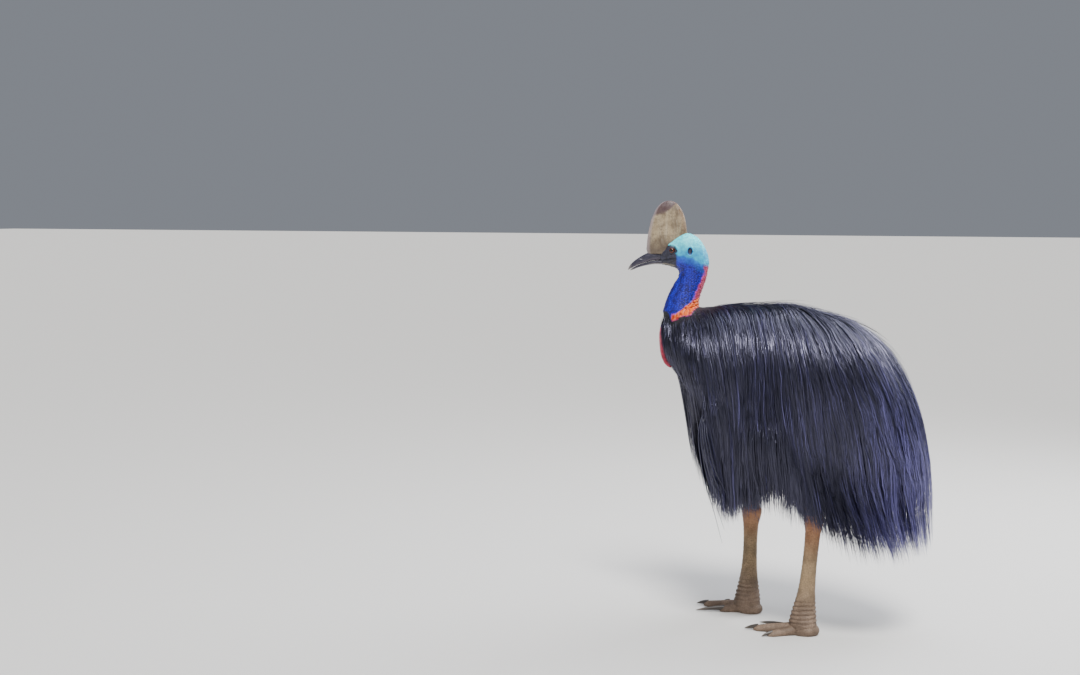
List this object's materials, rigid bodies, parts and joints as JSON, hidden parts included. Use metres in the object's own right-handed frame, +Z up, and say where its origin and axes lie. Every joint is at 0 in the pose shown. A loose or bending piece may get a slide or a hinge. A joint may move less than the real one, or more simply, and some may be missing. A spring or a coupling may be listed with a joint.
{
  "type": "southern cassowary, still life-size model",
  "caption": "Life-size still model of an adult southern cassowary, standing with one leg set back and its head turned a little to its left.",
  "frame": {"origin": "on the floor, under the middle of the bird's bounding box", "axes": "+Z up, -Y the way the body faces, +X the bird's left side"},
  "size_m": [0.4189, 0.9825, 1.362],
  "materials": {
    "plumage": "black hair-like feathers with a blue-violet sheen",
    "quill": "shiny bare wing quills",
    "neck_skin": "ultramarine wrinkled bare skin, pink-red down the hind neck, orange warts at its foot",
    "head_skin": "pale turquoise bare skin, dark round the eye, cobalt below the ear",
    "wattle": "crimson bare skin",
    "casque": "brown-grey horn",
    "bill": "dark horn, satin",
    "eye": "wet red-brown eye",
    "leg_skin": "tan scaly skin",
    "claw": "dark horn"
  },
  "bodies": {
    "root": {"head": "head_skin", "casque": "casque", "bill_upper": "bill", "bill_lower": "bill", "eye_left": "eye", "eye_right": "eye", "neck_upper": "neck_skin", "neck_lower": "plumage", "wattle_left": "wattle", "wattle_right": "wattle", "torso": "plumage", "wing_left": "quill", "wing_right": "quill", "thigh_left": "plumage", "shank_left": "leg_skin", "foot_left": "leg_skin", "claw_left_middle": "claw", "claw_left_outer": "claw", "claw_left_inner": "claw", "thigh_right": "plumage", "shank_right": "leg_skin", "foot_right": "leg_skin", "claw_right_middle": "claw", "claw_right_outer": "claw", "claw_right_inner": "claw"}
  },
  "joints": []
}
